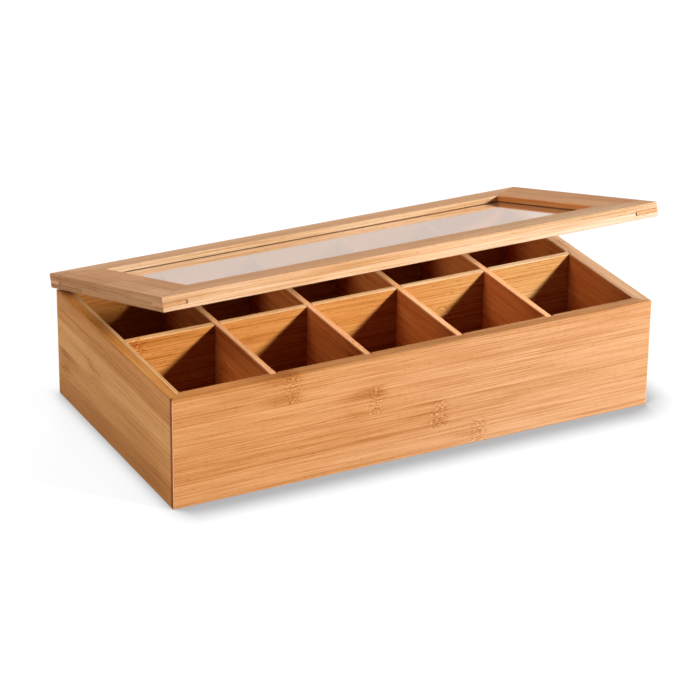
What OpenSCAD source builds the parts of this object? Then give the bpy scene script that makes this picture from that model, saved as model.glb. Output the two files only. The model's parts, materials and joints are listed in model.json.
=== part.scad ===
// Tea bag organizer box: a mitred bamboo box with ten compartments and a
// hinged lid whose mitred frame holds a clear window.
// X runs along the width, -Y is the front, +Z is up. The origin is the middle
// of the underside. All sizes are in millimetres.

/* [Box] */
// Outside width of the box
box_w = 356; // [280:1:420]
// Outside depth of the box
box_d = 192; // [150:1:260]
// Height of the walls
box_h = 78; // [50:1:110]
// Thickness of the four walls
wall_t = 9.5; // [8:0.5:14]
// Radius of the walls' eased edges and corners
wall_ease = 0.6; // [0.4:0.1:2]

/* [Bottom panel] */
// Thickness of the bottom panel
bottom_t = 5; // [3:0.5:10]
// How far the panel laps under the walls, in their rabbet
bottom_lap = 4.5; // [2:0.5:6]
// Gap between the panel's edge and the rabbet
bottom_play = 0.2; // [0:0.1:0.5]

/* [Dividers] */
// Thickness of the dividers
divider_t = 4.5; // [3:0.5:8]
// How far the dividers' top edges lie below the rim
divider_drop = 0.4; // [0:0.1:20]
// Radius of the eased top edges
divider_ease = 0.6; // [0.2:0.1:1.2]
// Depth of the dado grooves in the walls
dado_depth = 2; // [1:0.5:3]
// Gap on each side of a divider in its dado
dado_play = 0.4; // [0.1:0.05:0.5]
// Gap between a divider's end and the bottom of its dado
dado_end_play = 0.3; // [0:0.1:0.6]
// Gap on each side of a divider in a halved crossing
lap_play = 0.15; // [0.05:0.05:0.4]

/* [Lid frame] */
// Thickness of the lid frame
lid_t = 10; // [9:0.5:14]
// How far the lid reaches past each side wall
lid_side_lip = 3.5; // [0:0.5:8]
// How far the lid reaches past the front wall, as a finger lip
lid_front_lip = 6; // [0:0.5:12]
// Gap between the closed lid and the rim
lid_gap = 0.6; // [0.4:0.1:1.6]
// Width of the lid's front rail
front_rail_w = 30.5; // [24:0.5:45]
// Width of the lid's back rail
back_rail_w = 30.5; // [24:0.5:45]
// Width of the lid's two stiles
stile_w = 30.5; // [24:0.5:45]
// Radius of the lid's eased edges and corners
lid_ease = 0.8; // [0.4:0.1:2]
// Angle at which the lid stands open, in degrees
lid_angle = 17.2; // [0:0.1:100]

/* [Spline keys] */
// Length of the saw kerf along each face of a lid corner
key_leg = 17.5; // [12:0.5:28]
// Thickness of the kerf and of the key glued in it
key_t = 2.2; // [1.5:0.1:3]
// Height of the key's middle above the lid's underside
key_z = 4.4; // [3.5:0.1:6]
// How far each end of the key falls short of the kerf's end
key_short = 1; // [0:0.1:3]

/* [Window] */
// Thickness of the clear pane
pane_t = 2; // [1.5:0.1:3]
// Height of the pane's underside above the lid's underside
pane_z = 3.6; // [2:0.1:4.5]
// Depth of the groove that holds the pane
groove_depth = 5; // [3:0.5:8]
// Gap between the pane's faces and the groove
pane_play = 0.1; // [0:0.05:0.3]
// Gap between the pane's edge and the bottom of the groove
pane_edge_play = 0.5; // [0.2:0.1:1]

/* [Hinges] */
// Length of each hinge
hinge_len = 30; // [25:1:50]
// Distance from the box's side to the near end of the hinge
hinge_inset = 42; // [30:1:90]
// Distance from the back face to the hinge pin's axis
hinge_setback = 3.5; // [3:0.1:5]
// Distance that each leaf reaches over the wood
leaf_reach = 7; // [6:0.5:7.5]
// Thickness of the leaves
leaf_t = 1.2; // [1:0.1:1.4]
// Outside radius of the knuckles
knuckle_r = 2.2; // [2:0.1:2.6]
// Gap between neighbouring knuckles, and round them where they turn
knuckle_gap = 0.3; // [0.2:0.05:0.5]
// Radius of the hinge pin
pin_r = 1; // [0.8:0.05:1.2]
// Radial running clearance of the pin in the knuckles
pin_play = 0.05; // [0.02:0.01:0.08]
// Radius of the pin's peened heads
pin_head_r = 1.6; // [1.4:0.1:1.9]
// Thickness of the pin's peened heads
pin_head_t = 0.6; // [0.4:0.1:1]
// Angle at which the hinge's stops meet, in degrees from closed
stop_angle = 101; // [90:1:110]
// How far the stop bars stand out from the knuckles
stop_bar = 1.5; // [1:0.1:2]

/* [Screws] */
// Overall length of a screw
screw_len = 7; // [5:0.5:8]
// Radius of the screw's shank
screw_r = 0.9; // [0.7:0.05:1.1]
// Radius of the screw's countersunk head
screw_head_r = 1.9; // [1.7:0.1:2.1]
// Distance from each end of the hinge to the nearer screw's middle
screw_end = 6; // [4.5:0.5:8]
// Gap round the screw in its hole
screw_play = 0.05; // [0:0.05:0.1]

/* [Hidden] */
$fn = 32;

over = 1;                  // how far a cutter runs past the face that it cuts
cross_count = 4;           // dividers across the box, front to back

// Box
inner_w = box_w - 2 * wall_t;
inner_d = box_d - 2 * wall_t;
cell_w = (inner_w - cross_count * divider_t) / (cross_count + 1);
divider_h = box_h - divider_drop - bottom_t;
lap_h = divider_h / 2;     // height of each half of a halved crossing

// Lid, in its closed place
lid_w = box_w + 2 * lid_side_lip;
lid_z = box_h + lid_gap;
lid_front = -box_d / 2 - lid_front_lip;
lid_back = box_d / 2;

// Hinge axis and the hinges' places along it
hinge_y = box_d / 2 + hinge_setback;
hinge_z = box_h + lid_gap / 2;
hinge_x = box_w / 2 - hinge_inset - hinge_len / 2;
knuckle_count = 5;
knuckle_pitch = hinge_len / knuckle_count;
box_knuckles = [0, 2, 4];
lid_knuckles = [1, 3];
bar_in = knuckle_r + knuckle_gap;          // from the axis to the stop bar
leaf_edge = hinge_setback + leaf_reach;    // from the axis to the leaf's far edge
leaf_top = lid_gap / 2;                    // from the axis to the leaf's face
screw_x = hinge_len / 2 - screw_end;
screw_y = hinge_setback + leaf_reach / 2;
head_h = screw_head_r - screw_r;           // a 90 degree countersink
head_slot_w = 0.5;
head_slot_d = 0.4;

// Corners of a frame's outline, counter-clockwise from the front left
function corners(x0, x1, y0, y1) = [[x0, y0], [x1, y0], [x1, y1], [x0, y1]];
box_outer = corners(-box_w / 2, box_w / 2, -box_d / 2, box_d / 2);
box_inner = corners(-inner_w / 2, inner_w / 2, -inner_d / 2, inner_d / 2);
lid_outer = corners(-lid_w / 2, lid_w / 2, lid_front, lid_back);
lid_inner = corners(-lid_w / 2 + stile_w, lid_w / 2 - stile_w,
                    lid_front + front_rail_w, lid_back - back_rail_w);

function knuckle_x(i) = (i - (knuckle_count - 1) / 2) * knuckle_pitch;
function cross_x(i) = -inner_w / 2 + i * (cell_w + divider_t) - divider_t / 2;
function unit(v) = v / norm(v);

// ---------- shared shapes ----------

// Rectangle with its four corners rounded, from the origin
module eased_rect(w, h, r) {
    translate([r, 0]) square([w - 2 * r, h]);
    translate([0, r]) square([w, h - 2 * r]);
    for (x = [r, w - r], y = [r, h - r]) translate([x, y]) circle(r);
}

// Upright prism over an outline given by its corners, with eased upright edges
module eased_prism(outline, h, r) {
    size = outline[2] - outline[0];
    translate([outline[0][0], outline[0][1], 0])
        linear_extrude(h) eased_rect(size[0], size[1], r);
}

// One mitred side of a frame. The child profile runs along side k, with its
// outer face at x = 0, and is cut to the mitre lines and the eased corners.
module frame_side(outer, inner, k, h, ease) {
    a = outer[k];
    b = outer[(k + 1) % 4];
    intersection() {
        translate([a[0], a[1], 0]) rotate(90 * k) rotate([90, 0, 90])
            linear_extrude(norm(b - a)) children();
        linear_extrude(h) polygon([a, b, inner[(k + 1) % 4], inner[k]]);
        eased_prism(outer, h, ease);
    }
}

// Places its children, drawn on the axis of a closed hinge, at both hinges
module at_hinge(side) {
    translate([side * hinge_x, hinge_y, hinge_z]) children();
}

// Swings its children, drawn in the closed lid's place, to the rest angle
module on_lid() {
    translate([0, hinge_y, hinge_z]) rotate([-lid_angle, 0, 0])
        translate([0, -hinge_y, -hinge_z]) children();
}

// ---------- box ----------

module wall_profile() {
    difference() {
        eased_rect(wall_t, box_h, wall_ease);
        translate([wall_t - bottom_lap, -over]) square([bottom_lap + over, bottom_t + over]);
    }
}

// The grooves that take the ends of all the dividers
module dado_cutters() {
    groove_w = divider_t + 2 * dado_play;
    groove_h = box_h - bottom_t + over;
    span_x = inner_w + 2 * dado_depth;
    span_y = inner_d + 2 * dado_depth;
    translate([-span_x / 2, -groove_w / 2, bottom_t]) cube([span_x, groove_w, groove_h]);
    for (i = [1:cross_count])
        translate([cross_x(i) - groove_w / 2, -span_y / 2, bottom_t])
            cube([groove_w, span_y, groove_h]);
}

module wall(k) {
    difference() {
        frame_side(box_outer, box_inner, k, box_h, wall_ease) wall_profile();
        dado_cutters();
    }
}

module front_wall() color("sandybrown") wall(0);
module right_wall() color("burlywood") wall(1);
module left_wall() color("burlywood") wall(3);

module back_wall() color("sandybrown") {
    difference() {
        wall(2);
        for (side = [-1, 1]) at_hinge(side) {
            leaf_mortise();
            screw_pilots();
        }
    }
}

module bottom_panel() color("tan") {
    w = inner_w + 2 * (bottom_lap - bottom_play);
    d = inner_d + 2 * (bottom_lap - bottom_play);
    translate([-w / 2, -d / 2, 0]) cube([w, d, bottom_t]);
}

// ---------- dividers ----------

// Upright board along X with eased top edges, centred, standing on the bottom
module divider_board(len) {
    translate([-len / 2, -divider_t / 2, bottom_t]) rotate([90, 0, 90]) linear_extrude(len) {
        eased_rect(divider_t, divider_h, divider_ease);
        square([divider_t, lap_h]);
    }
}

function divider_len(inner) = inner + 2 * (dado_depth - dado_end_play);

// Runs the length of the box, and is slotted from above at each crossing
module long_divider() color("tan") {
    slot_w = divider_t + 2 * lap_play;
    difference() {
        divider_board(divider_len(inner_w));
        for (i = [1:cross_count])
            translate([cross_x(i) - slot_w / 2, -divider_t, bottom_t + lap_h])
                cube([slot_w, 2 * divider_t, lap_h + over]);
    }
}

// Runs from front to back over the long divider, and is slotted from below
module cross_divider(i) color("tan") {
    slot_w = divider_t + 2 * lap_play;
    translate([cross_x(i), 0, 0]) difference() {
        rotate(90) divider_board(divider_len(inner_d));
        translate([-divider_t, -slot_w / 2, bottom_t - over])
            cube([2 * divider_t, slot_w, lap_h + over]);
    }
}

// ---------- lid ----------

module lid_profile(w) {
    difference() {
        eased_rect(w, lid_t, lid_ease);
        translate([w - groove_depth, pane_z - pane_play])
            square([groove_depth + over, pane_t + 2 * pane_play]);
    }
}

// Triangle in a lid corner, with legs along both faces, run out past them
module corner_triangle(k, leg, past) {
    c = lid_outer[k];
    u = unit(lid_outer[(k + 1) % 4] - c);
    v = unit(lid_outer[(k + 3) % 4] - c);
    polygon([c - past * (u + v), c + (leg + past) * u - past * v, c + (leg + past) * v - past * u]);
}

module corner_slice(k, leg, past) {
    translate([0, 0, key_z - key_t / 2]) linear_extrude(key_t) corner_triangle(k, leg, past);
}

module lid_side(k, w) {
    difference() {
        frame_side(lid_outer, lid_inner, k, lid_t, lid_ease) lid_profile(w);
        corner_slice(k, key_leg, over);
        corner_slice((k + 1) % 4, key_leg, over);
    }
}

// Places its children, drawn on z = 0, at the height of the lid's underside
module in_lid() on_lid() translate([0, 0, lid_z]) children();

module lid_front_rail() color("peru") in_lid() lid_side(0, front_rail_w);
module lid_right_stile() color("peru") in_lid() lid_side(1, stile_w);
module lid_left_stile() color("peru") in_lid() lid_side(3, stile_w);

module lid_back_rail() color("peru") on_lid() {
    difference() {
        translate([0, 0, lid_z]) lid_side(2, back_rail_w);
        for (side = [-1, 1]) at_hinge(side) mirror([0, 0, 1]) {
            leaf_mortise();
            screw_pilots();
        }
    }
}

// Key glued in the kerf across a mitre, flush with both faces
module lid_key(k) color("sienna") in_lid() intersection() {
    corner_slice(k, key_leg - key_short, 0);
    eased_prism(lid_outer, lid_t, lid_ease);
}

module window_pane() color("lightcyan", 0.4) in_lid() {
    reach = groove_depth - pane_edge_play;
    size = lid_inner[2] - lid_inner[0];
    translate([lid_inner[0][0] - reach, lid_inner[0][1] - reach, pane_z])
        cube([size[0] + 2 * reach, size[1] + 2 * reach, pane_t]);
}

// ---------- hinges, drawn closed on their axis, with the box side below ----------

// Round bar along the axis, centred
module axis_bar(r, len) rotate([0, 90, 0]) cylinder(r = r, h = len, center = true);

// Extrudes its child section along the axis, centred, with section x towards the back
module along_axis(len) rotate([90, 0, 90]) linear_extrude(len, center = true) children();

// Section of a stop, out to the stop bar's far edge. Its flat face lies in a
// plane through the axis.
module stop_section(from) {
    rotate(-stop_angle / 2) translate([from, -stop_bar]) square([bar_in + stop_bar - from, stop_bar]);
}

module knuckle_section() {
    circle(knuckle_r);
    stop_section(0);
}

// One leaf with its own knuckles, cut clear of the other leaf's. Its stop bar
// runs behind all the knuckles, and only its own carry it.
module leaf(own, other) {
    difference() {
        union() {
            difference() {
                translate([-hinge_len / 2, -leaf_edge, -leaf_top - leaf_t])
                    cube([hinge_len, leaf_edge, leaf_t]);
                for (i = other) translate([knuckle_x(i), 0, 0])
                    axis_bar(knuckle_r + knuckle_gap, knuckle_pitch + 2 * knuckle_gap);
            }
            for (i = own) translate([knuckle_x(i), 0, 0])
                along_axis(knuckle_pitch - knuckle_gap) knuckle_section();
            along_axis(hinge_len) stop_section(bar_in);
        }
        axis_bar(pin_r + pin_play, hinge_len + over);
        at_screws() screw_shape(screw_play, screw_len);
    }
}

module leaf_mortise() {
    translate([-hinge_len / 2, -leaf_edge, -leaf_top - leaf_t])
        cube([hinge_len, leaf_edge, leaf_t + over]);
}

module at_screws() {
    for (x = [-screw_x, screw_x]) translate([x, -screw_y, -leaf_top]) children();
}

// Countersunk screw pointing down, with its head's face on z = 0
module screw_shape(play, len) {
    translate([0, 0, -head_h]) cylinder(r1 = screw_r + play, r2 = screw_head_r + play, h = head_h);
    translate([0, 0, -len]) cylinder(r = screw_r + play, h = len - head_h / 2);
}

module screw_pilots() at_screws() screw_shape(screw_play, screw_len + screw_play);

module screws() at_screws() difference() {
    screw_shape(0, screw_len);
    translate([-screw_head_r, -head_slot_w / 2, -head_slot_d])
        cube([2 * screw_head_r, head_slot_w, 2 * head_slot_d]);
}

module box_leaf(side) color("goldenrod") at_hinge(side) leaf(box_knuckles, lid_knuckles);

module lid_leaf(side) color("goldenrod") on_lid() at_hinge(side)
    mirror([0, 0, 1]) leaf(lid_knuckles, box_knuckles);

module hinge_pin(side) color("gold") at_hinge(side) {
    axis_bar(pin_r, hinge_len + pin_head_t);
    for (end = [-1, 1]) translate([end * (hinge_len + pin_head_t) / 2, 0, 0])
        axis_bar(pin_head_r, pin_head_t);
}

module box_leaf_screws() color("gold") for (side = [-1, 1]) at_hinge(side) screws();

module lid_leaf_screws() color("gold") on_lid() for (side = [-1, 1]) at_hinge(side)
    mirror([0, 0, 1]) screws();

// ---------- nodes ----------

front_wall();
back_wall();
left_wall();
right_wall();
bottom_panel();
long_divider();
cross_divider(1);  // cross_divider_1
cross_divider(2);  // cross_divider_2
cross_divider(3);  // cross_divider_3
cross_divider(4);  // cross_divider_4
lid_front_rail();
lid_back_rail();
lid_left_stile();
lid_right_stile();
lid_key(0);  // lid_key_front_left
lid_key(1);  // lid_key_front_right
lid_key(2);  // lid_key_back_right
lid_key(3);  // lid_key_back_left
window_pane();
box_leaf(-1);  // left_hinge_box_leaf
box_leaf(1);  // right_hinge_box_leaf
lid_leaf(-1);  // left_hinge_lid_leaf
lid_leaf(1);  // right_hinge_lid_leaf
hinge_pin(-1);  // left_hinge_pin
hinge_pin(1);  // right_hinge_pin
box_leaf_screws();
lid_leaf_screws();
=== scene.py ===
"""Looks of the tea bag organizer box: bamboo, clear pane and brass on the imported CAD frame."""
import json
import math

import bpy
from mathutils import Matrix, Vector


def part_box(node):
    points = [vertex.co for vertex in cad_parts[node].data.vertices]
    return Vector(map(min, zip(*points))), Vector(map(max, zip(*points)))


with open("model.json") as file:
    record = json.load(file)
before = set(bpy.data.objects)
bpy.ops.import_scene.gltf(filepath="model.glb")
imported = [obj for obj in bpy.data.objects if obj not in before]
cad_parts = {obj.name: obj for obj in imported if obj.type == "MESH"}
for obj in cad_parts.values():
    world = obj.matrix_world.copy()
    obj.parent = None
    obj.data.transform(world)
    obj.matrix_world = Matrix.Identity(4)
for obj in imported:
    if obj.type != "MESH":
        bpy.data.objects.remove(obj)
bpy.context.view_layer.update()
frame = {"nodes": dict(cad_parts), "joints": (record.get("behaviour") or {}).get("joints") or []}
NODES = frame["nodes"]
MM = 0.001

# ---------- the frame's own sizes ----------
HINGE = frame["joints"][0]
LID_ANGLE = -math.radians(HINGE["range_deg"][0])      # the lid's angle at rest, from closed
HINGE_AXIS = Vector(HINGE["pos_m"])
BOX_LOW = Vector((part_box("left_wall")[0][0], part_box("front_wall")[0][1], 0.0))
BOX_HIGH = Vector((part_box("right_wall")[1][0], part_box("back_wall")[1][1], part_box("front_wall")[1][2]))
WALL_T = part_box("front_wall")[1][1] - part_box("front_wall")[0][1]
DIVIDER_LOW, DIVIDER_HIGH = (Vector(corner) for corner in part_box("long_divider"))
DIVIDER_T = DIVIDER_HIGH.y - DIVIDER_LOW.y

# the lid as it lies closed, while its nodes stand at LID_ANGLE
LID_GAP = 0.6 * MM         # between the lid and the rim
LID_T = 10 * MM
RAIL_W = 30.5 * MM
SIDE_LIP = 3.5 * MM
FRONT_LIP = 6 * MM
LID_BOTTOM = HINGE_AXIS.z + LID_GAP / 2
LID_LOW = Vector((BOX_LOW.x - SIDE_LIP, BOX_LOW.y - FRONT_LIP))
LID_HIGH = Vector((BOX_HIGH.x + SIDE_LIP, BOX_HIGH.y))
KERF_LOW = LID_BOTTOM + 3.3 * MM
KERF_HIGH = LID_BOTTOM + 5.5 * MM
KEY_LEG = 17.5 * MM        # how far a spline key runs along the lid's edge
PANE_TOP = LID_BOTTOM + 5.6 * MM


# ---------- camera ----------
CAMERA_AT = Vector((-0.88506, -1.70670, 0.93690))
CAMERA_TARGET = Vector((-0.00557, -0.00647, 0.0405))
CAMERA_ROLL = math.radians(0.693)
CAMERA_LENS = 159.49       # in millimetres, as is the sensor's width
CAMERA_SENSOR = 36.0
CAMERA_NEAR, CAMERA_FAR = 0.05, 50.0


def make_camera():
    data = bpy.data.cameras.new("camera")
    data.lens = CAMERA_LENS
    data.sensor_width = CAMERA_SENSOR
    data.clip_start = CAMERA_NEAR
    data.clip_end = CAMERA_FAR
    camera = bpy.data.objects.new("camera", data)
    bpy.context.scene.collection.objects.link(camera)
    aim = (CAMERA_TARGET - CAMERA_AT).to_track_quat("-Z", "Y").to_matrix().to_4x4()
    camera.matrix_world = Matrix.Translation(CAMERA_AT) @ aim @ Matrix.Rotation(CAMERA_ROLL, 4, "Z")
    bpy.context.scene.camera = camera


make_camera()


# ---------- node graphs ----------
def color(red, green, blue):
    return (red, green, blue, 1.0)


class Graph:
    """The node tree of a material or world, with one short call for each kind of node."""

    def __init__(self, owner):
        owner.use_nodes = True
        self.owner = owner
        self.tree = owner.node_tree
        self.tree.nodes.clear()

    def node(self, kind, **settings):
        node = self.tree.nodes.new(kind)
        for key, value in settings.items():
            setattr(node, key, value)
        return node

    def feed(self, socket, value):
        """Links a socket to another one's output, or sets it to a plain value."""
        if isinstance(value, bpy.types.NodeSocket):
            self.tree.links.new(value, socket)
        else:
            socket.default_value = value

    def place(self):
        """Where the point is in the row frame, in metres."""
        return self.node("ShaderNodeTexCoord").outputs["Object"]

    def split(self, vector):
        """The x, y and z of a vector."""
        node = self.node("ShaderNodeSeparateXYZ")
        self.feed(node.inputs[0], vector)
        return list(node.outputs)

    def combine(self, x, y, z):
        node = self.node("ShaderNodeCombineXYZ")
        for socket, value in zip(node.inputs, (x, y, z)):
            self.feed(socket, value)
        return node.outputs[0]

    def math(self, operation, a, b=0.0):
        node = self.node("ShaderNodeMath", operation=operation)
        self.feed(node.inputs[0], a)
        self.feed(node.inputs[1], b)
        return node.outputs[0]

    def scaled(self, a, b, offset=0.0):
        """a * b + offset."""
        node = self.node("ShaderNodeMath", operation="MULTIPLY_ADD")
        for socket, value in zip(node.inputs, (a, b, offset)):
            self.feed(socket, value)
        return node.outputs[0]

    def distance(self, a, b):
        return self.math("ABSOLUTE", self.math("SUBTRACT", a, b))

    def ramp(self, value, low, high, to_low=0.0, to_high=1.0):
        """Smooth step of value from low to high."""
        node = self.node("ShaderNodeMapRange", interpolation_type="SMOOTHSTEP")
        for index, item in enumerate((value, low, high, to_low, to_high)):
            self.feed(node.inputs[index], item)
        return node.outputs[0]

    def noise(self, vector, scale=1.0, detail=1.0, roughness=0.5):
        node = self.node("ShaderNodeTexNoise")
        self.feed(node.inputs["Vector"], vector)
        node.inputs["Scale"].default_value = scale
        node.inputs["Detail"].default_value = detail
        node.inputs["Roughness"].default_value = roughness
        return node.outputs["Fac"]

    def random(self, *whole_numbers):
        """A value from 0 to 1 that is the same wherever the three whole numbers are."""
        node = self.node("ShaderNodeTexWhiteNoise", noise_dimensions="3D")
        self.feed(node.inputs["Vector"], self.combine(*whole_numbers))
        return node.outputs["Value"]

    def mix(self, factor, a, b, blend="MIX"):
        node = self.node("ShaderNodeMix", data_type="RGBA", blend_type=blend)
        self.feed(node.inputs["Factor"], factor)
        self.feed(node.inputs[6], a)
        self.feed(node.inputs[7], b)
        return node.outputs[2]

    def steps(self, position, values):
        """The value of the list that position, from 0 to 1, falls on."""
        node = self.node("ShaderNodeValToRGB")
        node.color_ramp.interpolation = "CONSTANT"
        stops = node.color_ramp.elements
        while len(stops) < len(values):
            stops.new(1.0)
        for index, value in enumerate(values):
            stops[index].position = index / len(values)
            stops[index].color = color(value, value, value)
        self.feed(node.inputs[0], position)
        return node.outputs[0]

    def gradient(self, position, shades):
        """The colour at position on a list of (position, colour) that runs from 0 to 1."""
        node = self.node("ShaderNodeValToRGB")
        stops = node.color_ramp.elements
        for at, _ in shades[1:-1]:
            stops.new(at)
        for stop, (_, shade) in zip(stops, shades):
            stop.color = shade
        self.feed(node.inputs[0], position)
        return node.outputs[0]

    def bump(self, shader, height, strength, depth):
        node = self.node("ShaderNodeBump")
        node.inputs["Strength"].default_value = strength
        node.inputs["Distance"].default_value = depth
        self.feed(node.inputs["Height"], height)
        self.feed(shader.inputs["Normal"], node.outputs[0])

    def finish(self, shader, output="ShaderNodeOutputMaterial"):
        self.feed(self.node(output).inputs["Surface"], shader.outputs[0])
        return self.owner


# ---------- bamboo ----------
# A board is glued up of strips across its face (v) and plies through its
# thickness (w), with the grain along u. Each board names the row axes that
# u, v and w lie along, where v and w start, and the strips' sizes.
SHADES = (
    (0.0, color(0.40, 0.125, 0.028)),
    (0.30, color(0.60, 0.240, 0.068)),
    (0.65, color(0.81, 0.400, 0.165)),
    (1.0, color(0.92, 0.550, 0.290)),
)
SHADE_MIDDLE = 0.695
SHADE_DEPTH = 0.70

# hues, by which the shades are multiplied
PLAIN = (1.0, 1.0, 1.0)
ORANGE = (1.06, 0.87, 0.52)     # the long divider's and the bottom's own colour; on the walls' inner faces below the rim, painted shade
RUSSET = (1.12, 0.64, 0.33)     # the cross dividers, partly their own colour and partly painted shade of the compartments; on the right wall's inner face, painted shade
PALE = (1.0, 1.10, 1.32)        # the lid's rails
TAN = (1.0, 1.05, 1.15)         # the lid's stiles
SPLINE = (0.92, 0.97, 1.10)     # the lid's spline keys
PAINTED_LIGHT_RIGHT_WALL = (1.02, 1.16, 1.35)      # the right wall, paler overall: painted light, for its lit rim
PAINTED_LIGHT_FRONT_EDGE = (1.14, 1.29, 1.53)      # the lid's front edge, which faces the lamp, paler than the rest of its rail: painted light
PAINTED_SHADE_LID_SIDE = (0.80, 0.74, 0.66)       # the outside of the lid's left stile, darker: painted shade
PAINTED_LIGHT_BACK_EDGE = (1.25, 1.55, 1.90)        # the inner edge of the lid's back rail, which faces the lamp, paler: painted light
PAINTED_LIGHT_STILE_EDGE = (1.30, 0.92, 0.57)      # the inner edges of the lid's stiles, lighter and more orange: painted light
BOUNCED = (0.43, 0.30, 0.28)    # as light sees a board that it reaches from another one

# the colours and depths of joints, of a painted highlight at the walls' corners, and of the painted shadow in
# the pane's groove
DARK_SEAM = (color(0.62, 0.14, 0.004), 0.9)       # the side walls' mitres
PAINTED_CORNER_HIGHLIGHT = (color(0.96, 0.62, 0.40), 0.8)        # beside the front and back walls' mitres: painted highlight of the eased corner edge
LID_SEAM = (color(0.20, 0.07, 0.02), 0.25)
KEY_SEAM = (color(0.22, 0.08, 0.025), 0.9)
# painted shadow in the gap where the pane enters the frame's groove
PANE_GROOVE_SHADOW = (color(0.05, 0.02, 0.01), 0.92)
RIM_SEAM_LOSS = 0.75       # how much weaker a mitre is on the rim

# the grain's features: their length along the grain and width across it
FIBRE = (45 * MM, 0.70 * MM)
STREAK = (110 * MM, 2.6 * MM)
DRIFT = (75 * MM, 10 * MM)
VESSEL = (200 * MM, 0.9 * MM)
PORE = (4.5 * MM, 0.85 * MM)
GLUE_PATCH = (130 * MM, 20 * MM)
# from where on their noise some of them start and are full
VESSEL_FROM = (0.50, 0.66)
PORE_FROM = (0.60, 0.72)
GLUE_PATCH_FROM = (0.35, 0.60)
GLUE_LEAST = 0.25          # the strength of a strip's glue line between its patches
# what they change in the shade
FIBRE_SWING = 1.05
STREAK_SWING = 0.22
DRIFT_SWING = 0.32
VESSEL_DEPTH = 0.26
PORE_DEPTH = 0.20
GLUE_DEPTH = 0.26
# how much strips differ: plain ones, ones with tints of their own, and ones joined from blocks
STRIP_SWING = 0.30
TINTED_SWING = 0.16
BLOCK_SWING = 0.50
STRIP_SHIFT = 3.7          # the most that one strip's grain is moved along, in metres

SPOT_RANGE = 0.4           # knuckle positions are stored as shares of this length
KNUCKLE_EDGE = 9.5 * MM    # a knuckle's weave starts this far from its middle
KNUCKLE_CORE = 2.0 * MM    # and is full from here
KNUCKLE_WANDER = 8 * MM
WEAVE_SWING, WEAVE_DROP = 2.0, 1.08
TAIL_START, TAIL_FULL, TAIL_END = -32 * MM, -7 * MM, 12 * MM
TAIL_PATCH_FROM = (0.45, 0.62)
TAIL_DEPTH = 0.30
# the cells in a metre of the knuckles' noises
WANDER_ACROSS = 170.0
WEAVE_ALONG, WEAVE_ACROSS = 480.0, 1000.0
PATCH_ALONG, PATCH_ACROSS = 14.0, 130.0

# lines and skins: how far off each one ends, and from where it is full
STRIP_LINE = (0.55 * MM, 0.10 * MM)
PLY_LINE = (0.30 * MM, 0.0)
MITRE_LINE = (0.55 * MM, 0.15 * MM)
KEY_LINE = (0.50 * MM, 0.15 * MM)
PANE_LINE = (0.55 * MM, 0.35 * MM)
FACE_SKIN = (0.60 * MM, 0.30 * MM)
RIM_SKIN = (1.0 * MM, 0.5 * MM)
FACE_REACH = 0.5 * MM      # a point this close to a face belongs to it
LIP_DEPTH = 0.8 * MM       # how far a wall's rim reaches down its inner ply

ROUGHNESS, FIBRE_ROUGHNESS = 0.40, 0.16
BUMP_STRENGTH, BUMP_DEPTH = 0.35, 0.12 * MM


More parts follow.
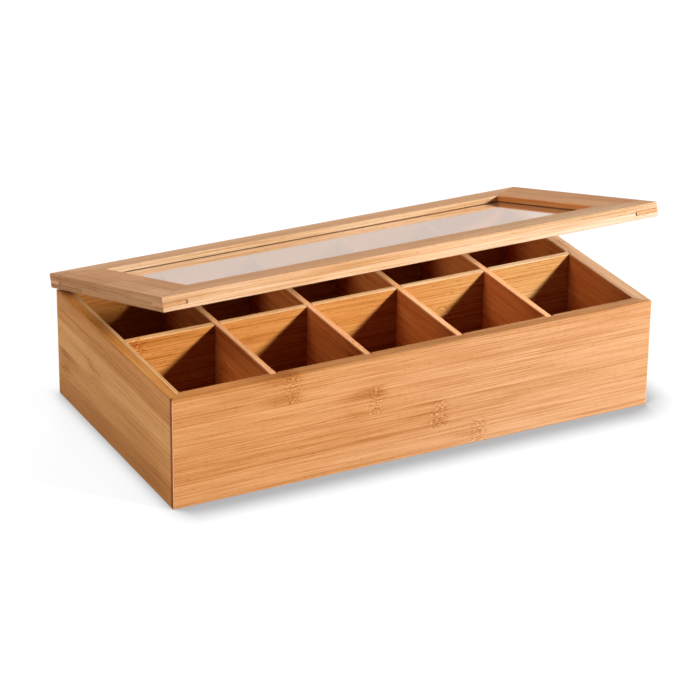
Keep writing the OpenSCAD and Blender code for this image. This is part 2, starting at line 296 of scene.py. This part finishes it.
class Board(Graph):
    """The material of a board: where a point lies in its strips and plies, and its colour so far."""

    def __init__(self, name, axes, start, strip, ply, block, on_lid, seed):
        super().__init__(bpy.data.materials.new(name))
        place = self.place()
        if on_lid:
            place = self.closed(place)
        self.x, self.y, self.height = self.split(place)
        by_axis = {"x": self.x, "y": self.y, "z": self.height}
        self.u, self.v, self.w = (by_axis[axis] for axis in axes)
        self.strip, self.ply, self.seed = strip, ply, float(seed)
        self.strip_at = self.scaled(self.v, 1.0 / strip, -start[0] / strip)
        self.ply_at = self.scaled(self.w, 1.0 / ply, -start[1] / ply)
        self.strip_no = self.math("FLOOR", self.strip_at)
        self.ply_no = self.math("FLOOR", self.ply_at)
        self.piece = self.random(self.strip_no, self.ply_no, self.seed)
        self.along = self.scaled(self.piece, STRIP_SHIFT, self.u)
        if block:
            block_no = self.math("FLOOR", self.math("DIVIDE", self.along, block))
            self.piece = self.random(self.strip_no, block_no, self.math("ADD", self.ply_no, self.seed))

    def closed(self, place):
        """Turns a point of the resting lid into the closed lid's place."""
        turn = Matrix.Rotation(LID_ANGLE, 3, "X")
        node = self.node("ShaderNodeMapping")
        node.inputs["Location"].default_value = HINGE_AXIS - turn @ HINGE_AXIS
        node.inputs["Rotation"].default_value = (LID_ANGLE, 0.0, 0.0)
        self.feed(node.inputs["Vector"], place)
        return node.outputs[0]

    def cells(self, u, along, across):
        """The point in a noise that has so many cells in a metre along u and across it."""
        return self.combine(self.scaled(u, along), self.scaled(self.v, across), self.scaled(self.w, across))

    def grain(self, size, detail=1.0, roughness=0.5):
        """Noise with features of this length along the grain and width across it."""
        length, width = size
        return self.noise(self.cells(self.along, 1.0 / length, 1.0 / width), 1.0, detail, roughness)

    def swing(self, value, depth):
        """value, from 0 to 1, turned into a swing about 0."""
        return self.scaled(value, depth, -0.5 * depth)

    def per_strip(self, values):
        """The value that the list holds for the point's strip."""
        middle = self.math("ADD", self.strip_no, 0.5)
        return self.steps(self.math("DIVIDE", middle, float(len(values))), values)

    def knuckles(self, spots):
        """What a bamboo joint across each strip adds to the shade, with its dark tail."""
        middle = self.swing(self.per_strip([0.5 + spot / SPOT_RANGE for spot in spots]), SPOT_RANGE)
        wander = self.noise(self.combine(0.0, self.scaled(self.v, WANDER_ACROSS), self.seed))
        offset = self.math("ADD", self.math("SUBTRACT", self.u, middle), self.swing(wander, KNUCKLE_WANDER))
        core = self.ramp(self.math("ABSOLUTE", offset), KNUCKLE_EDGE, KNUCKLE_CORE)
        weave = self.noise(self.cells(self.u, WEAVE_ALONG, WEAVE_ACROSS))
        woven = self.math("MULTIPLY", core, self.scaled(weave, WEAVE_SWING, -WEAVE_DROP))
        rise, fall = self.ramp(offset, TAIL_START, TAIL_FULL), self.ramp(offset, TAIL_END, 0.0)
        patches = self.noise(self.combine(
            self.scaled(self.u, PATCH_ALONG), self.scaled(self.v, PATCH_ACROSS), self.seed))
        tail = self.math("MULTIPLY", self.math("MULTIPLY", rise, fall), self.ramp(patches, *TAIL_PATCH_FROM))
        return self.math("SUBTRACT", woven, self.scaled(tail, TAIL_DEPTH))

    def glue_lines(self):
        """The lines between strips, now stronger and now weaker, and those between plies."""
        from_strip = self.math("PINGPONG", self.strip_at, 0.5)
        from_ply = self.math("PINGPONG", self.ply_at, 0.5)
        strips = self.ramp(from_strip, *(edge / self.strip for edge in STRIP_LINE))
        plies = self.ramp(from_ply, *(edge / self.ply for edge in PLY_LINE))
        strength = self.ramp(self.grain(GLUE_PATCH), *GLUE_PATCH_FROM, GLUE_LEAST, 1.0)
        return self.math("MAXIMUM", self.math("MULTIPLY", strips, strength), plies)

    def paint(self, hue, piece_swing, spots, tints, slope, contrast):
        """The bamboo's colour, from fibres, wide streaks, slow drift, dark vessels, pores and glue; a slope
        along u, where given, is painted light.
        """
        self.fibres = self.grain(FIBRE, 2.0, 0.6)
        self.pores = self.ramp(self.grain(PORE), *PORE_FROM)
        self.glue = self.glue_lines()
        changes = [
            self.swing(self.fibres, FIBRE_SWING * contrast),
            self.swing(self.grain(STREAK), STREAK_SWING * contrast),
            self.swing(self.grain(DRIFT), DRIFT_SWING),
            self.swing(self.piece, piece_swing),
            self.scaled(self.ramp(self.grain(VESSEL), *VESSEL_FROM), -VESSEL_DEPTH * contrast),
            self.scaled(self.pores, -PORE_DEPTH * contrast),
            self.scaled(self.glue, -GLUE_DEPTH),
        ]
        if slope:
            changes.append(self.scaled(self.u, slope))
        if tints:
            changes.append(self.math("SUBTRACT", self.per_strip([0.5 + tint for tint in tints]), 0.5))
        if spots:
            changes.append(self.knuckles(spots))
        level = changes[0]
        for change in changes[1:]:
            level = self.math("ADD", level, change)
        shade = self.gradient(self.scaled(level, SHADE_DEPTH, SHADE_MIDDLE), SHADES)
        self.colour = self.mix(1.0, shade, color(*hue), "MULTIPLY")

    def multiply_hue(self, factor, hue):
        """Multiplies the colour by hue, as far as factor says; most calls paint light and shade with it."""
        multiplied = self.mix(1.0, self.colour, color(*hue), "MULTIPLY")
        self.colour = self.mix(factor, self.colour, multiplied)

    def draw(self, factor, line_color, depth):
        """Draws a line over the colour where factor is 1."""
        self.colour = self.mix(self.scaled(factor, depth), self.colour, line_color)

    # painted shade on a wall's inner face below the rim, and painted light on that ply's rim
    def paint_inner_shade(self, number, hue, lip):
        below_rim = self.math("LESS_THAN", self.height, BOX_HIGH.z - LIP_DEPTH)
        in_ply = self.math("COMPARE", self.ply_no, float(number))
        self.multiply_hue(self.math("MULTIPLY", in_ply, below_rim), hue)
        if lip:
            self.multiply_hue(self.math("MULTIPLY", in_ply, self.math("SUBTRACT", 1.0, below_rim)), lip)

    def draw_key_lines(self):
        """The dark glue line round a spline key, seen on the outside of the lid's frame."""
        nearest = self.math("MINIMUM", self.distance(self.w, KERF_LOW), self.distance(self.w, KERF_HIGH))
        beside_key = self.math("GREATER_THAN", self.math("ABSOLUTE", self.u), LID_HIGH.x - KEY_LEG)
        self.draw(self.math("MULTIPLY", self.ramp(nearest, *KEY_LINE), beside_key), *KEY_SEAM)

    def draw_pane_groove_shadow(self, side):
        """Painted shadow in the gap where the pane enters the frame's groove."""
        on_face = self.math("LESS_THAN", self.distance(self.v, side), FACE_REACH)
        low = self.ramp(self.w, *(PANE_TOP + edge for edge in PANE_LINE))
        self.draw(self.math("MULTIPLY", on_face, low), *PANE_GROOVE_SHADOW)

    def draw_mitres(self, seams, seam, top):
        """The mitre lines, which are weaker on the rim; on the front and back walls the line is pale: a
        painted highlight of the eased corner edge.
        """
        strength = self.scaled(top, -RIM_SEAM_LOSS, 1.0)
        for x, y, run_x, run_y in seams:
            x_share = self.scaled(self.x, run_y, -x * run_y)
            y_share = self.scaled(self.y, run_x, -y * run_x)
            near = self.ramp(self.distance(x_share, y_share), *MITRE_LINE)
            self.draw(self.math("MULTIPLY", near, strength), *seam)

    def lacquer(self, gloss):
        """The finished material: satin lacquer that follows the fibres, pores and glue lines."""
        shader = self.node("ShaderNodeBsdfPrincipled")
        self.feed(shader.inputs["Base Color"], self.colour)
        self.feed(shader.inputs["Roughness"], self.scaled(self.fibres, FIBRE_ROUGHNESS, ROUGHNESS))
        shader.inputs["Specular IOR Level"].default_value = gloss
        dents = self.math("ADD", self.scaled(self.glue, 0.6), self.pores)
        self.bump(shader, self.math("SUBTRACT", self.fibres, dents), BUMP_STRENGTH, BUMP_DEPTH)
        return self.finish(shader)


def bamboo(name, axes, start, strip, ply, block=None, spots=(), tints=(), tone=1.0, hue=PLAIN, slope=0.0,
           contrast=1.0, inner=None, lip=None, crown=None, edges=(), fade=None, seams=(), seam=None,
           keyed=False, pane_side=None, gloss=0.12, on_lid=False, seed=0):
    """The material of a laminated bamboo board.

    axes: the row axes that u, v and w lie along
    start: where v and w start, in metres; strip, ply: sizes across v and w
    block: length of the pieces that a strip is joined from
    spots, tints: each strip's knuckle along u, and what is added to its shade
    tone, hue: how light the board is, and its hue
    slope, contrast: what a metre along u adds to the shade, and how strong the grain is; the slope is painted
    light, lighter towards the right
    inner: the ply that faces the compartments and its hue below the rim, which is painted shade; lip: its hue
    on the rim, painted light
    crown, edges: (z, hue) for the top at that height, and a (v, hue) for each face that differs; these hues
    are painted light and shade
    fade: (u, u, hue, share), the hue reached from the first u to the second, less that share on the rim;
    where it pales a board towards the right it is painted light
    seams: mitre lines as (x, y, direction x, direction y); seam: their colour and depth, which on the front
    and back walls is a painted highlight
    keyed: if spline keys show in its outside; pane_side: v of the face that the pane meets, where the
    groove's shadow is painted
    gloss: specular level; on_lid: if the board belongs to the lid
    """
    board = Board(name, axes, start, strip, ply, block, on_lid, seed)
    piece_swing = TINTED_SWING if tints else BLOCK_SWING if block else STRIP_SWING
    board.paint([tone * part for part in hue], piece_swing, spots, tints, slope, contrast)
    if inner:
        board.paint_inner_shade(*inner, lip)
    top = 0.0
    # painted light on a board's top, painted shade on the front wall's rim
    if crown:
        top_z, top_hue = crown
        top = board.ramp(board.height, *(top_z - depth for depth in RIM_SKIN))
        board.multiply_hue(top, top_hue)
    # painted light and shade on single faces
    for side, side_hue in edges:
        board.multiply_hue(board.ramp(board.distance(board.v, side), *FACE_SKIN), side_hue)
    # painted light where a board pales towards its right end
    if fade:
        fade_from, fade_to, fade_hue, share = fade
        reached = board.ramp(board.u, fade_from, fade_to)
        board.multiply_hue(board.math("MULTIPLY", reached, board.scaled(top, -share, 1.0)), fade_hue)
    if keyed:
        board.draw_key_lines()
    if pane_side is not None:
        board.draw_pane_groove_shadow(pane_side)
    if seams:
        board.draw_mitres(seams, seam, top)
    if not on_lid:
        # the box's boards throw little light on each other, which keeps the compartments' shadows deep
        board.multiply_hue(board.node("ShaderNodeLightPath").outputs["Is Diffuse Ray"], BOUNCED)
    return board.lacquer(gloss)


def set_material(node, material):
    mesh = NODES[node].data
    mesh.materials.clear()
    mesh.materials.append(material)


def corner_seams(low, high):
    """The mitre lines of a frame at its front left, front right, back right and back left."""
    slant = math.sqrt(0.5)
    return [
        (low.x, low.y, slant, slant),
        (high.x, low.y, -slant, slant),
        (high.x, high.y, -slant, -slant),
        (low.x, high.y, slant, -slant),
    ]


STRIPS = 4                 # across the height of a wall or divider
STRIP_LOW = -2.8 * MM      # the lowest strip is trimmed by this much
STRIP = (BOX_HIGH.z - STRIP_LOW) / STRIPS
WALL_PLY = WALL_T / 3


def dress_walls():
    seams = corner_seams(BOX_LOW, BOX_HIGH)
    rim = BOX_HIGH.z
    walls = {
        # the darker rim is painted shade, the paler, lighter right end is painted light, and the inner face
        # is painted shade
        "front_wall": dict(
            axes="xzy", start=(STRIP_LOW, BOX_LOW.y), seams=seams[:2], seam=PAINTED_CORNER_HIGHLIGHT, inner=(2, ORANGE),
            spots=(0.0453, 0.0148, -0.0323, -0.0929), tints=(0.10, 0.0, 0.02, -0.02), slope=0.32,
            crown=(rim, (0.91, 0.85, 0.72)), fade=(-0.16, 0.10, (0.96, 1.04, 1.26), 0.0)),
        # the inner face is painted shade
        "back_wall": dict(
            axes="xzy", start=(STRIP_LOW, BOX_HIGH.y - WALL_T), seams=seams[2:], seam=PAINTED_CORNER_HIGHLIGHT,
            inner=(0, ORANGE), spots=(-0.020, 0.105, 0.031, -0.130)),
        # the paler rim and lip are painted light, and the inner face is painted shade
        "left_wall": dict(
            axes="yzx", start=(STRIP_LOW, BOX_LOW.x), seams=seams[::3], seam=DARK_SEAM, inner=(2, ORANGE),
            spots=(0.19, 0.084, 0.038, 0.19), tints=(-0.20, -0.02, 0.30, -0.20), hue=(0.99, 0.93, 0.70),
            crown=(rim, (1.10, 1.16, 1.18)), lip=(1.14, 1.52, 2.50),
            fade=(BOX_LOW.y + 4.2 * MM, BOX_LOW.y + 1.8 * MM, (0.42, 0.21, 0.07), 0.0)),
        # paler, with a paler rim: painted light; the inner face is painted shade
        "right_wall": dict(
            axes="yzx", start=(STRIP_LOW, BOX_HIGH.x - WALL_T), seams=seams[1:3], seam=DARK_SEAM,
            inner=(0, RUSSET), spots=(-0.030, 0.045, -0.070, 0.020), hue=PAINTED_LIGHT_RIGHT_WALL,
            crown=(rim, (1.15, 1.30, 1.60))),
    }
    for seed, (node, look) in enumerate(walls.items()):
        set_material(node, bamboo("bamboo_" + node, strip=STRIP, ply=WALL_PLY, seed=seed, **look))


PAINTED_CROSS_LIGHT = (0.92, 1.0, 1.06, 1.12)     # the cross dividers', from left to right: painted light and shade, for how much light reaches each one's left face


def dress_dividers():
    # a divider is one ply, and lies in the middle of a thicker one so that no glue line falls on its faces
    shared = dict(strip=STRIP, ply=3 * DIVIDER_T, contrast=1.5)
    # the paler top is painted light, and so is the lighter, paler right end (slope and fade)
    set_material("long_divider", bamboo(
        "bamboo_long_divider", "xzy", (STRIP_LOW, DIVIDER_LOW.y - DIVIDER_T), hue=ORANGE,
        spots=(0.12, -0.03, 0.07, -0.160), slope=0.55, crown=(DIVIDER_HIGH.z, (1.14, 1.60, 2.90)),
        fade=(-0.02, 0.15, (1.0, 1.22, 1.60), 0.6), gloss=0.03, seed=11, **shared))
    for number, tone in enumerate(PAINTED_CROSS_LIGHT, 1):
        node = f"cross_divider_{number}"
        spots = [0.09 * math.sin(2.3 * number + 1.9 * strip) for strip in range(STRIPS)]
        # the paler tops are painted light
        set_material(node, bamboo(
            "bamboo_" + node, "yzx", (STRIP_LOW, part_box(node)[0][0] - DIVIDER_T), hue=RUSSET, tone=tone,
            spots=spots, crown=(DIVIDER_HIGH.z, (1.32, 2.30, 4.70)), gloss=0.02, seed=20 + number, **shared))


def dress_bottom():
    set_material("bottom_panel", bamboo(
        "bamboo_bottom_panel", "xyz", (BOX_LOW.y, -1 * MM), strip=20.5 * MM, ply=20 * MM, tone=0.7,
        hue=ORANGE, gloss=0.03, seed=31))


def dress_lid():
    seams = corner_seams(LID_LOW, LID_HIGH)
    left_in, front_in = LID_LOW.x + RAIL_W, LID_LOW.y + RAIL_W
    right_in, back_in = LID_HIGH.x - RAIL_W, LID_HIGH.y - RAIL_W
    members = {
        # the paler front face and the paler right end are painted light
        "lid_front_rail": dict(
            axes="xyz", start=(LID_LOW.y, LID_BOTTOM), seams=seams[:2], hue=PALE, tone=0.93, keyed=True,
            edges=[(LID_LOW.y, PAINTED_LIGHT_FRONT_EDGE)], pane_side=front_in, fade=(0.0, 0.13, (0.98, 1.11, 1.28), 0.0)),
        "lid_back_rail": dict(
            axes="xyz", start=(back_in, LID_BOTTOM), seams=seams[2:], hue=PALE, tone=0.92, keyed=True,
            edges=[(back_in, PAINTED_LIGHT_BACK_EDGE)], pane_side=back_in),
        "lid_left_stile": dict(
            axes="yxz", start=(LID_LOW.x, LID_BOTTOM), seams=seams[::3], hue=TAN, tone=0.89, block=63 * MM,
            edges=[(left_in, PAINTED_LIGHT_STILE_EDGE), (LID_LOW.x, PAINTED_SHADE_LID_SIDE)], pane_side=left_in),
        "lid_right_stile": dict(
            axes="yxz", start=(right_in, LID_BOTTOM), seams=seams[1:3], hue=TAN, tone=0.89, block=71 * MM,
            edges=[(right_in, PAINTED_LIGHT_STILE_EDGE)], pane_side=right_in),
    }
    for seed, (node, look) in enumerate(members.items(), 41):
        set_material(node, bamboo(
            "bamboo_" + node, strip=RAIL_W / 2, ply=LID_T / 2, contrast=1.05, seam=LID_SEAM, on_lid=True,
            seed=seed, **look))
    for seed, corner in enumerate(("front_left", "front_right", "back_right", "back_left"), 60):
        set_material("lid_key_" + corner, bamboo(
            "bamboo_key_" + corner, "xyz", (0.0, 0.0), strip=50 * MM, ply=50 * MM, hue=SPLINE, on_lid=True,
            seed=seed))


# ---------- pane and metal ----------
PANE_SHADOW = 0.3          # how much of the lamps' light the pane holds back, so that they shine into the box


def clear_pane():
    g = Graph(bpy.data.materials.new("clear_pane"))
    shader = g.node("ShaderNodeBsdfPrincipled")
    shader.inputs["Base Color"].default_value = color(0.95, 0.96, 0.95)
    shader.inputs["Sheen Weight"].default_value = 0.29
    shader.inputs["Sheen Roughness"].default_value = 0.5
    shader.inputs["Sheen Tint"].default_value = color(1.0, 0.52, 0.26)
    shader.inputs["Coat Weight"].default_value = 0.7
    shader.inputs["Coat Roughness"].default_value = 0.0
    shader.inputs["Transmission Weight"].default_value = 1.0
    shader.inputs["IOR"].default_value = 1.49
    haze = g.noise(g.place(), 35.0, 3.0)
    g.feed(shader.inputs["Roughness"], g.scaled(haze, 0.03))
    shadow_ray = g.node("ShaderNodeLightPath").outputs["Is Shadow Ray"]
    g.feed(shader.inputs["Alpha"], g.scaled(shadow_ray, PANE_SHADOW - 1.0, 1.0))
    return g.finish(shader)


def brass(name, tone):
    g = Graph(bpy.data.materials.new(name))
    place = g.place()
    brushed = g.node("ShaderNodeMapping")
    brushed.inputs["Scale"].default_value = (60.0, 900.0, 900.0)
    g.feed(brushed.inputs["Vector"], place)
    scratches = g.noise(brushed.outputs[0], 1.0, 3.0, 0.6)
    tarnish = g.ramp(g.noise(place, 260.0, 3.0, 0.55), 0.45, 0.75)
    plain = color(0.80 * tone, 0.56 * tone, 0.24 * tone)
    worn = color(0.50 * tone, 0.31 * tone, 0.12 * tone)
    shader = g.node("ShaderNodeBsdfPrincipled")
    g.feed(shader.inputs["Base Color"], g.mix(tarnish, plain, worn))
    shader.inputs["Metallic"].default_value = 1.0
    g.feed(shader.inputs["Roughness"], g.scaled(scratches, 0.22, 0.2))
    g.bump(shader, scratches, 0.2, 0.03 * MM)
    return g.finish(shader)


def dress_hardware():
    set_material("window_pane", clear_pane())
    leaf, screw = brass("satin_brass", 1.0), brass("screw_brass", 0.92)
    for side in ("left", "right"):
        for part in ("box_leaf", "lid_leaf", "pin"):
            set_material(f"{side}_hinge_{part}", leaf)
    for node in ("box_leaf_screws", "lid_leaf_screws"):
        set_material(node, screw)


dress_walls()
dress_dividers()
dress_bottom()
dress_lid()
dress_hardware()


# ---------- floor and light ----------
FLOOR_REACH = 6.0
FLOOR_DROP = 0.05 * MM     # below the box's underside, so that the two don't share a plane
FLOOR_GLOW = 0.93
FLOOR_TONE, FLOOR_GRAIN = 0.79, 0.02
MIRRORED_GLOW = 0.56       # the floor's glow in the pane, next to what the camera sees
SHADOW_REACH = 28 * MM
SHADOW_DEPTH = 1.7
SHADOW_DEPTH_BEHIND = SHADOW_DEPTH / 14     # behind the box and on its left
SHADOW_TURN = 12 * MM      # how far each side of the box's edge one depth turns into the other
SHADOW_CORE = 0.38         # the floor's glow where its shadow is deepest
WORLD_LIGHT = 0.02


def seen_directly(g):
    """1 for the camera, and for what it sees in or through gloss and glass."""
    rays = g.node("ShaderNodeLightPath").outputs
    seen = g.math("MAXIMUM", rays["Is Camera Ray"], rays["Is Glossy Ray"])
    seen = g.math("MAXIMUM", seen, rays["Is Transmission Ray"])
    return g.math("MULTIPLY", seen, g.math("LESS_THAN", rays["Diffuse Depth"], 0.5))


def floor_material():
    """White to the camera and in reflections, with a soft grey shadow close to
    the object, mostly in front and on the right. Other rays see pale paper."""
    g = Graph(bpy.data.materials.new("pale_floor"))
    place = g.place()
    x, y, _ = g.split(place)
    outside = g.math("MAXIMUM", g.math("SUBTRACT", BOX_LOW.x, x), g.math("SUBTRACT", y, BOX_HIGH.y))
    depth = g.ramp(outside, -SHADOW_TURN, SHADOW_TURN, SHADOW_DEPTH, SHADOW_DEPTH_BEHIND)
    open_sky = g.node("ShaderNodeAmbientOcclusion")
    open_sky.inputs["Distance"].default_value = SHADOW_REACH
    shadow = g.math("MULTIPLY", g.math("SUBTRACT", 1.0, open_sky.outputs["AO"]), depth)
    shade = g.math("MAXIMUM", g.scaled(shadow, -FLOOR_GLOW, FLOOR_GLOW), SHADOW_CORE)
    mirrored = g.node("ShaderNodeLightPath").outputs["Is Glossy Ray"]
    glow = g.node("ShaderNodeEmission")
    g.feed(glow.inputs["Strength"], g.math("MULTIPLY", shade, g.scaled(mirrored, MIRRORED_GLOW - 1.0, 1.0)))
    tone = g.scaled(g.noise(place, 400.0, 2.0), FLOOR_GRAIN, FLOOR_TONE)
    paper = g.node("ShaderNodeBsdfDiffuse")
    g.feed(paper.inputs["Color"], g.combine(tone, tone, tone))
    shadowed = g.node("ShaderNodeBsdfDiffuse")
    shadowed.inputs["Color"].default_value = color(0.12, 0.125, 0.13)
    seen_floor = g.node("ShaderNodeAddShader")
    g.feed(seen_floor.inputs[0], shadowed.outputs[0])
    g.feed(seen_floor.inputs[1], glow.outputs[0])
    both = g.node("ShaderNodeMixShader")
    g.feed(both.inputs[0], seen_directly(g))
    g.feed(both.inputs[1], paper.outputs[0])
    g.feed(both.inputs[2], seen_floor.outputs[0])
    return g.finish(both)


def make_floor():
    mesh = bpy.data.meshes.new("floor")
    r = FLOOR_REACH
    mesh.from_pydata([(-r, -r, 0), (r, -r, 0), (r, r, 0), (-r, r, 0)], [], [(0, 1, 2, 3)])
    mesh.materials.append(floor_material())
    floor = bpy.data.objects.new("floor", mesh)
    floor.location.z = -FLOOR_DROP
    bpy.context.scene.collection.objects.link(floor)


def make_world():
    """White to the camera and in reflections, and a faint light on the object."""
    g = Graph(bpy.data.worlds.new("studio"))
    sky = g.node("ShaderNodeBackground")
    g.feed(sky.inputs["Strength"], g.scaled(seen_directly(g), 1.0 - WORLD_LIGHT, WORLD_LIGHT))
    bpy.context.scene.world = g.finish(sky, "ShaderNodeOutputWorld")


def area_light(name, toward, distance, size, level):
    """A square soft light. level is what a white surface facing it shows."""
    data = bpy.data.lights.new(name, "AREA")
    data.shape = "SQUARE"
    data.size = size
    data.energy = level * math.pi ** 2 * distance ** 2
    light = bpy.data.objects.new(name, data)
    place = Vector(toward).normalized() * distance
    light.matrix_world = Matrix.Translation(place) @ place.to_track_quat("Z", "Y").to_matrix().to_4x4()
    light.visible_glossy = False
    light.visible_transmission = False
    bpy.context.scene.collection.objects.link(light)


make_floor()
make_world()
area_light("key", toward=(1.21, -1.60, 1.00), distance=2.24, size=0.20, level=1.12)
area_light("left_fill", toward=(-1.0, 0.18, 0.70), distance=3.0, size=1.4, level=0.43)
area_light("back_fill", toward=(0.20, 0.70, 0.68), distance=1.5, size=0.35, level=0.35)
bpy.context.scene.view_settings.view_transform = "Standard"
